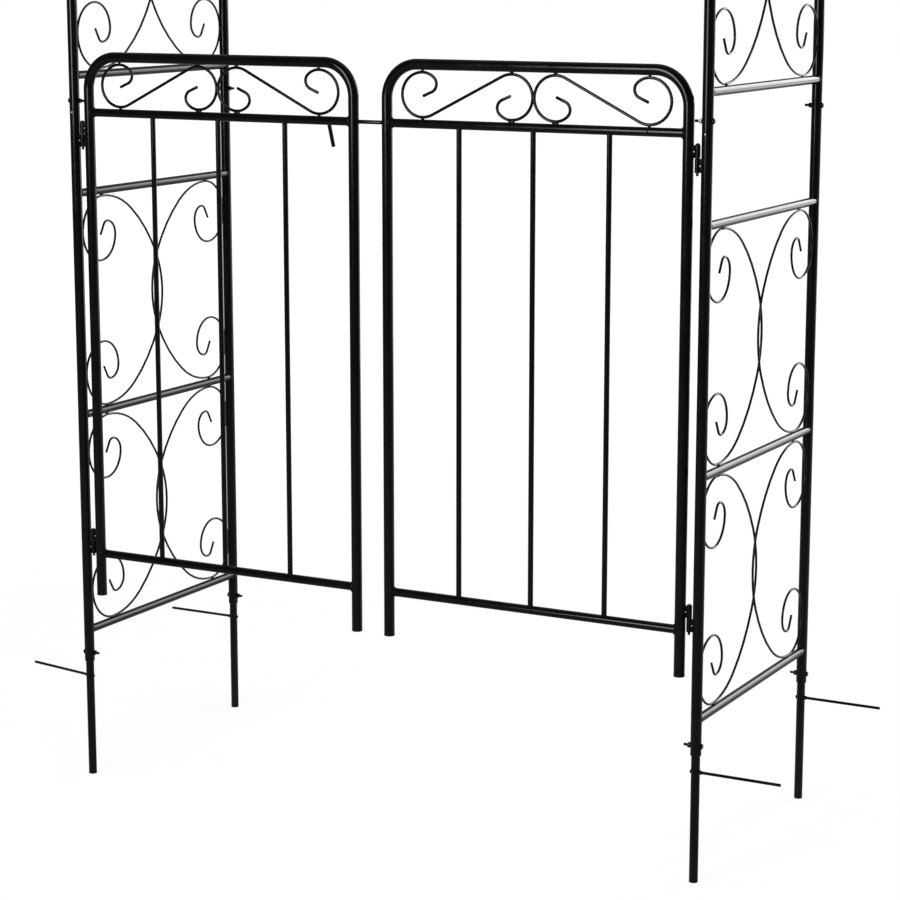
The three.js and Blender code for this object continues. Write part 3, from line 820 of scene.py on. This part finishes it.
# Two crossing scrolls. The one at the front post lies nearer to the passage.
def sideScrollModel(bayHeight, inwards):
    halfHeight = bayHeight / 2 - rungRadius - seatGap - sideScroll["wire"]
    line = sideScrollLine(halfHeight, inwards)
    points = [point.co.copy() for point in line.data.vertices]
    postTouch = min(points, key=lambda point: point.x)
    rungTouch = max(points, key=lambda point: point.z)
    innerPoints = [point for point in points if abs(point.z) <= halfHeight / 2]
    crossing = min(innerPoints, key=lambda point: abs(point.x))
    wire = rounded(fattened(line, sideScroll["wire"], sideScroll["sides"]), sideScroll["endBevel"])
    painted(wire, powderCoat, smoothDegrees=50)
    size = sideScroll["spot"]
    sunk = size * sideScroll["spotSunkShare"]
    parts = [wire]
    for side in (-1, 1):
        atPost = (postTouch.x - sunk, 0, side * postTouch.z)
        atRung = (rungTouch.x, 0, side * (rungTouch.z + sunk))
        parts.append(weldSpot(atPost, scaled(sideScroll["postSpot"], size)))
        parts.append(weldSpot(atRung, scaled(sideScroll["rungSpot"], size)))
    half = joined(*parts)
    facing = copyOf(half, turn=(0, 0, 180))
    crossingSize = scaled(sideScroll["crossingSpot"], size)
    spots = [weldSpot((0, 0, side * crossing.z), crossingSize) for side in (-1, 1)]
    return joined(half, facing, *spots)


rungGap = middleOf("side_rung_right_2").z - middleOf("side_rung_right_1").z
for sideName, inwards in (("left", -1), ("right", 1)):
    scroll = sideScrollModel(rungGap, inwards)
    for index in range(1, sideScroll["perSide"] + 1):
        node = f"side_scroll_{sideName}_{index}"
        stand(scroll, node, middleOf(node), (0, 0, 90))
    dropModels(scroll)
print("side scrolls made")


# Gate leaves, each modelled with its hinge line on the Z axis and its +X towards the middle

leaf = {
    "width": 475.7 * mm, "top": 1162 * mm, "foot": 306 * mm, "corner": 50 * mm, "tube": 8 * mm,
    "stepDegrees": 3, "crossRail": 1076.6 * mm, "bottomRail": 373 * mm, "railWall": 1 * mm, "bars": 3,
    "barSides": 24, "capRadius": 8.25 * mm, "capHeight": 4 * mm, "capRound": 1.2 * mm,
}
outerLeg = hinge["toLeg"]
innerLeg = outerLeg + leaf["width"]
latch = {
    "radius": 3 * mm, "round": 0.9 * mm, "inset": 43 * mm, "drop": 35 * mm, "lean": 20,
    "tail": 20 * mm, "out": 40 * mm, "in": 12 * mm, "gap": 56.6 * mm,
}
handlePlace = innerLeg - latch["inset"]


def leafFrameModel(isLeft):
    rise = leaf["top"] - leaf["corner"] - leaf["foot"]
    corner = (leaf["corner"], -90)
    route = routed(outerLeg, leaf["foot"], 90,
                   [rise, corner, leaf["width"] - 2 * leaf["corner"], corner, rise], leaf["stepDegrees"])
    legs = fattened(route, leaf["tube"], tube["sides"])
    # the latch rod goes through the left leaf's inner leg and into the right one's
    mouth = leaf["tube"] + overrun
    end = -mouth if isLeft else leaf["tube"] - latch["in"] - seatGap
    bore = (innerLeg + (mouth + end) / 2, 0, leaf["crossRail"])
    cutAway(legs, cylinder(latch["radius"] + seatGap, mouth - end, bore, (0, 90, 0)))
    painted(legs, powderCoat)
    cap = turned([
        (0, 0), (leaf["capRadius"], 0), (leaf["capRadius"], leaf["capHeight"]), (0, leaf["capHeight"]),
    ])
    painted(rounded(cap, leaf["capRound"], segments=3), footCap, smoothDegrees=35)
    caps = [copyOf(cap, (leg, 0, leaf["foot"] - leaf["capHeight"] / 2)) for leg in (outerLeg, innerLeg)]
    dropModels(cap)
    knuckles = [copyOf(leafKnuckle, (0, 0, split + hinge["split"] / 2))
                for split in hinge["splits"].values()]
    return joined(legs, *caps, *knuckles)


def railModel(height):
    rail = cylinder(rungRadius, leaf["width"], (outerLeg + leaf["width"] / 2, 0, height), (0, 90, 0))
    for leg in (outerLeg, innerLeg):
        cope(rail, leaf["tube"], (leg, 0, height))
    return rail


# Hollow for the latch rod and the slot below it for the handle.
def openForLatch(rail):
    start = handlePlace - latch["out"] - latch["tail"] - overrun
    height = leaf["crossRail"]
    cutAway(rail, cylinder(rungRadius - leaf["railWall"], innerLeg - start,
                           ((innerLeg + start) / 2, 0, height), (0, 90, 0)))
    width = 2 * (latch["radius"] + seatGap)
    lean = math.radians(latch["lean"])
    depth = rungRadius + overrun
    below = Vector((0, math.sin(lean), -math.cos(lean))) * depth / 2
    ends = (handlePlace - latch["out"], handlePlace + latch["in"])
    centre = Vector(((ends[0] + ends[1]) / 2, 0, height)) + below
    cutAway(rail, block((ends[1] - ends[0], width, depth), centre, (latch["lean"], 0, 0)))
    for end in ends:
        cutAway(rail, cylinder(width / 2, depth, Vector((end, 0, height)) + below, (latch["lean"], 0, 0)))


def leafGridModel(isLeft):
    crossRail = railModel(leaf["crossRail"])
    if isLeft:
        openForLatch(crossRail)
    bottomRail = railModel(leaf["bottomRail"])
    rise = leaf["crossRail"] - leaf["bottomRail"]
    middle = (leaf["crossRail"] + leaf["bottomRail"]) / 2
    spacing = leaf["width"] / (leaf["bars"] + 1)
    barPlaces = [outerLeg + spacing * index for index in range(1, leaf["bars"] + 1)]
    bars = [cylinder(barRadius, rise, (x, 0, middle), sides=leaf["barSides"]) for x in barPlaces]
    parts = [crossRail, bottomRail, *bars]
    for part in parts:
        painted(part, powderCoat)
    # a bar comes from below to the cross rail, and from above to the bottom rail
    for x in barPlaces:
        parts.append(copyOf(barRing, (x, 0, leaf["crossRail"]), (90, 90, 0)))
        parts.append(copyOf(barRing, (x, 0, leaf["bottomRail"]), (-90, 90, 0)))
    for height in (leaf["crossRail"], leaf["bottomRail"]):
        parts.append(copyOf(railRing, (outerLeg, 0, height), (0, 0, 90)))
        parts.append(copyOf(railRing, (innerLeg, 0, height), (0, 0, -90)))
    return joined(*parts)


leafScroll = {
    "wire": 2.25 * mm, "sides": 16, "endGap": 15.5 * mm, "weldBiteShare": 0.6, "railGap": 0.9 * mm,
    "flatness": 0.97, "bendShares": [(1, -180), (0.81, -45), (0.39, -111)], "endShare": 0.46,
    "endBevel": 0.45 * mm, "spot": 2.1 * mm, "spotSunkShare": 0.3, "spotShape": (0.9, 1.3),
    "spotWidths": {(-1, 1): 1, (-1, -1): 1.1, (1, 1): 1.5, (1, -1): 2.6},
    "runAngles": (80, 55, 30, 8), "runSpot": (0.55, 0.6, 0.8), "middleSpot": (0.9, 0.9, 2),
}


clearHeight = leaf["top"] - leaf["crossRail"] - leaf["tube"] - rungRadius
loopRadius = (clearHeight / 2 - leafScroll["railGap"] - leafScroll["wire"]) / leafScroll["flatness"]
weldBite = leafScroll["wire"] * leafScroll["weldBiteShare"]
scrollReach = leaf["width"] / 2 - leaf["tube"] - leafScroll["endGap"] - leafScroll["wire"] - weldBite
loopOffset = scrollReach / 2 - loopRadius
scrollMiddle = -(loopOffset + loopRadius + weldBite)


# S-scroll on the -X side of the panel's middle.
def leafScrollWire():
    slope = math.asin(loopRadius / loopOffset)
    bends = [(share * loopRadius, turn) for share, turn in leafScroll["bendShares"]]
    line = routed(0, 0, math.degrees(slope), [
        loopRadius / math.tan(slope), (loopRadius, -math.degrees(slope)), *bends,
        leafScroll["endShare"] * loopRadius,
    ])
    doubled(line, (-1, 1, -1))
    line.location = (scrollMiddle, 0, 0)
    line.scale = (1, 1, leafScroll["flatness"])
    wire = fattened(settled(), leafScroll["wire"], leafScroll["sides"])
    return painted(rounded(wire, leafScroll["endBevel"]), powderCoat, smoothDegrees=50)


# Weld spots where that scroll's loops come near the rails.
def leafScrollWelds():
    size = leafScroll["spot"]
    edge = clearHeight / 2 - size * leafScroll["spotSunkShare"]
    welds = []
    for (loopSide, railSide), width in leafScroll["spotWidths"].items():
        place = (scrollMiddle + loopSide * loopOffset, 0, railSide * edge)
        welds.append(weldSpot(place, scaled((width, *leafScroll["spotShape"]), size)))
    # run of weld down both faces of the cross rail, under the outer loop
    for angle in leafScroll["runAngles"]:
        lean = math.radians(angle)
        height = -clearHeight / 2 - rungRadius * (1 - math.sin(lean))
        for side in (-1, 1):
            place = (scrollMiddle - loopOffset, side * rungRadius * math.cos(lean), height)
            welds.append(weldSpot(place, scaled(leafScroll["runSpot"], size)))
    return welds


# Two S-scrolls of a top panel, joined by a spot where they meet.
def leafScrollModel():
    half = joined(leafScrollWire(), *leafScrollWelds())
    facing = copyOf(half, turn=(0, 0, 180))
    between = weldSpot((0, 0, 0), scaled(leafScroll["middleSpot"], leafScroll["spot"]))
    return joined(half, facing, between)


def latchModel():
    radius = latch["radius"]
    tip = latch["inset"] + latch["gap"] - leaf["tube"] - seatGap
    length = tip + latch["tail"]
    rod = cylinder(radius, length, ((tip - latch["tail"]) / 2, 0, 0), (0, 90, 0))
    lean = math.radians(latch["lean"])
    reach = rungRadius + latch["drop"]
    down = Vector((0, math.sin(lean), -math.cos(lean))) * reach / 2
    handle = cylinder(radius, reach, down, (latch["lean"], 0, 0))
    for part in (rod, handle):
        painted(rounded(part, latch["round"], segments=3), powderCoat, smoothDegrees=35)
    return joined(rod, handle)


pin = pinModel()
latchRod = latchModel()
leafScrolls = leafScrollModel()
panelMiddle = (leaf["top"] - leaf["tube"] + leaf["crossRail"] + rungRadius) / 2
for sideName, turn in (("left", 0), ("right", 180)):
    isLeft = sideName == "left"
    line = middleOf(f"hinge_pin_{sideName}_upper")
    place = (line.x, line.y, 0)
    body = f"{sideName}_leaf"
    frameModel = leafFrameModel(isLeft)
    gridModel = leafGridModel(isLeft)
    stand(frameModel, f"gate_frame_{sideName}", place, (0, 0, turn), body)
    stand(gridModel, f"gate_grid_{sideName}", place, (0, 0, turn), body)
    dropModels(frameModel, gridModel)
    node = f"gate_scroll_{sideName}"
    stand(leafScrolls, node, (middleOf(node).x, line.y, panelMiddle), (0, 0, turn), body)
    for level, split in hinge["splits"].items():
        stand(pin, f"hinge_pin_{sideName}_{level}", (line.x, line.y, split), (0, 0, turn))
    if isLeft:
        stand(latchRod, "latch_rod", (line.x + handlePlace, line.y, leaf["crossRail"]), body="latch")
dropModels(pin, latchRod, leafScrolls, leafKnuckle, railRing, barRing)
print("gate leaves made")


# Floor, light and camera

studio = {
    "floorSize": 60, "floorTone": 0.2, "floorGlow": 0.81, "glowRise": (1, 4.5), "floorEdge": 0.5,
    "surround": 0.3, "surroundEdge": 0.15, "mirrored": 0.3, "tint": (0.955, 0.95, 1.0),
}
softboxes = {
    "frontSoftbox": {
        "place": (-0.74, -3.95, 1.92), "aim": (0.2, 0, 1.92), "size": (1.32, 2.2), "watts": 86,
    },
    "backPanel": {"place": (1.8, 3.5, 2.07), "aim": (1.8, 0, 2.07), "size": (2.2, 1.85), "watts": 73},
    "lowPanel": {"place": (1.6, 3.5, 0.54), "aim": (1.6, 0, 0.54), "size": (1.9, 0.93), "watts": 16},
    "topSoftbox": {
        "place": (0, -0.3, 4.0), "aim": (0, 0, 0), "size": (3, 3), "watts": 95, "glossy": False,
    },
}


def ray(finish, kind):
    return finish.add("ShaderNodeLightPath", {}, {}, f"Is {kind} Ray")


# What a reflection sees of the floor or the world: light behind the object and none in front of it.
def reflected(finish, place, edge):
    y = finish.add("ShaderNodeSeparateXYZ", {}, {"Vector": place}, "Y")
    rays = ray(finish, "Glossy") + ray(finish, "Transmission")
    return rays * finish.ranged(y, -edge, edge) * studio["mirrored"]


def floorFinish():
    made, finish = material("floor")
    place = finish.add("ShaderNodeNewGeometry", {}, {}, "Position")
    away = finish.add("ShaderNodeVectorMath", {"operation": "LENGTH"}, {"Vector": place}, "Value")
    level = finish.ranged(away, *studio["glowRise"], studio["floorGlow"], 1)
    strength = (ray(finish, "Camera") + reflected(finish, place, studio["floorEdge"])) * level
    tone = studio["floorTone"]
    matte = finish.add("ShaderNodeBsdfDiffuse", {}, {"Color": (tone, tone, tone, 1)})
    glow = finish.add("ShaderNodeEmission", {}, {"Strength": strength})
    both = finish.add("ShaderNodeAddShader", {}, {0: matte, 1: glow})
    finish.add("ShaderNodeOutputMaterial", {}, {"Surface": both})
    return made


def surroundFinish():
    world = bpy.data.worlds.new("studio")
    world.use_nodes = True
    finish = Finish(world.node_tree)
    direction = finish.add("ShaderNodeTexCoord", {}, {}, "Generated")
    mirrored = reflected(finish, direction, studio["surroundEdge"])
    strength = ray(finish, "Camera") + mirrored + ray(finish, "Diffuse") * studio["surround"]
    light = finish.add("ShaderNodeBackground", {}, {"Color": (1, 1, 1, 1), "Strength": strength})
    finish.add("ShaderNodeOutputWorld", {}, {"Surface": light})
    bpy.context.scene.world = world


def softbox(name, look):
    light = bpy.data.lights.new(name, "AREA")
    light.shape = "RECTANGLE"
    light.size, light.size_y = look["size"]
    light.energy = look["watts"]
    light.color = studio["tint"]
    lamp = bpy.data.objects.new(name, light)
    bpy.context.scene.collection.objects.link(lamp)
    lamp.location = look["place"]
    lamp.rotation_euler = (Vector(look["aim"]) - Vector(look["place"])).to_track_quat("-Z", "Y").to_euler()
    lamp.visible_camera = False
    lamp.visible_glossy = look.get("glossy", True)


bpy.ops.object.select_all(action="DESELECT")
bpy.ops.mesh.primitive_plane_add(size=studio["floorSize"])
floor = bpy.context.active_object
floor.name = "floor"
floor.data.materials.append(floorFinish())
surroundFinish()
for name, look in softboxes.items():
    softbox(name, look)

view = {"place": (1.883, -3.477, 1.317), "tilt": 79.04, "yaw": 28.21, "lens": 102.28}
camera = bpy.data.objects.new("camera", bpy.data.cameras.new("camera"))
bpy.context.scene.collection.objects.link(camera)
camera.location = view["place"]
camera.rotation_euler = (math.radians(view["tilt"]), 0, math.radians(view["yaw"]))
camera.data.lens = view["lens"]
bpy.context.scene.camera = camera
bpy.context.scene.view_settings.view_transform = "Standard"
print("studio made")
